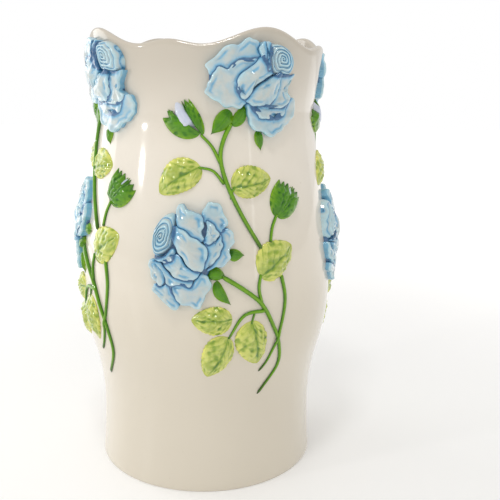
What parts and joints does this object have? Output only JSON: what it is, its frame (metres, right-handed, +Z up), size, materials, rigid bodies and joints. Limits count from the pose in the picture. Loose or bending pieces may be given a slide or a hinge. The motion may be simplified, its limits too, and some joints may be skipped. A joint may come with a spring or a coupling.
{
  "type": "umbrella stand",
  "caption": "Tall glazed ceramic umbrella stand: a waisted, bellied pot with a waved rim and closed floor, with rose sprays in relief round its wall.",
  "frame": {"origin": "middle of the foot, on the surface that the stand rests on", "axes": "+Z up along the axis of the pot; -Y is the front, the middle line of the front spray; +X is to the right of somebody who faces the front"},
  "size_m": [0.2867, 0.2871, 0.4595],
  "materials": {
    "body_glaze": "glossy ivory glaze on white earthenware",
    "petal_glaze": "glossy glaze, pale blue with deep blue in the folds",
    "bud_glaze": "glossy glaze, pale lavender blue",
    "leaf_glaze": "glossy glaze, yellow green with darker veins",
    "stem_glaze": "glossy glaze, leaf green with dark tips"
  },
  "bodies": {
    "root": {"vessel": "body_glaze", "front_upper_rose_petals": "petal_glaze", "front_upper_rose_heart": "petal_glaze", "front_upper_rose_sepals": "stem_glaze", "front_lower_rose_petals": "petal_glaze", "front_lower_rose_heart": "petal_glaze", "front_lower_rose_calyx": "stem_glaze", "front_left_bud_petal": "bud_glaze", "front_left_bud_calyx": "stem_glaze", "front_right_bud_petal": "bud_glaze", "front_right_bud_calyx": "stem_glaze", "front_upper_leaves": "leaf_glaze", "front_lower_leaves": "leaf_glaze", "front_upper_stems": "stem_glaze", "front_lower_stems": "stem_glaze", "right_upper_rose_petals": "petal_glaze", "right_upper_rose_heart": "petal_glaze", "right_upper_rose_sepals": "stem_glaze", "right_lower_rose_petals": "petal_glaze", "right_lower_rose_heart": "petal_glaze", "right_lower_rose_calyx": "stem_glaze", "right_left_bud_petal": "bud_glaze", "right_left_bud_calyx": "stem_glaze", "right_right_bud_petal": "bud_glaze", "right_right_bud_calyx": "stem_glaze", "right_upper_leaves": "leaf_glaze", "right_lower_leaves": "leaf_glaze", "right_upper_stems": "stem_glaze", "right_lower_stems": "stem_glaze", "back_upper_rose_petals": "petal_glaze", "back_upper_rose_heart": "petal_glaze", "back_upper_rose_sepals": "stem_glaze", "back_lower_rose_petals": "petal_glaze", "back_lower_rose_heart": "petal_glaze", "back_lower_rose_calyx": "stem_glaze", "back_left_bud_petal": "bud_glaze", "back_left_bud_calyx": "stem_glaze", "back_right_bud_petal": "bud_glaze", "back_right_bud_calyx": "stem_glaze", "back_upper_leaves": "leaf_glaze", "back_lower_leaves": "leaf_glaze", "back_upper_stems": "stem_glaze", "back_lower_stems": "stem_glaze", "left_upper_rose_petals": "petal_glaze", "left_upper_rose_heart": "petal_glaze", "left_upper_rose_sepals": "stem_glaze", "left_lower_rose_petals": "petal_glaze", "left_lower_rose_heart": "petal_glaze", "left_lower_rose_calyx": "stem_glaze", "left_left_bud_petal": "bud_glaze", "left_left_bud_calyx": "stem_glaze", "left_right_bud_petal": "bud_glaze", "left_right_bud_calyx": "stem_glaze", "left_upper_leaves": "leaf_glaze", "left_lower_leaves": "leaf_glaze", "left_upper_stems": "stem_glaze", "left_lower_stems": "stem_glaze"}
  },
  "joints": []
}
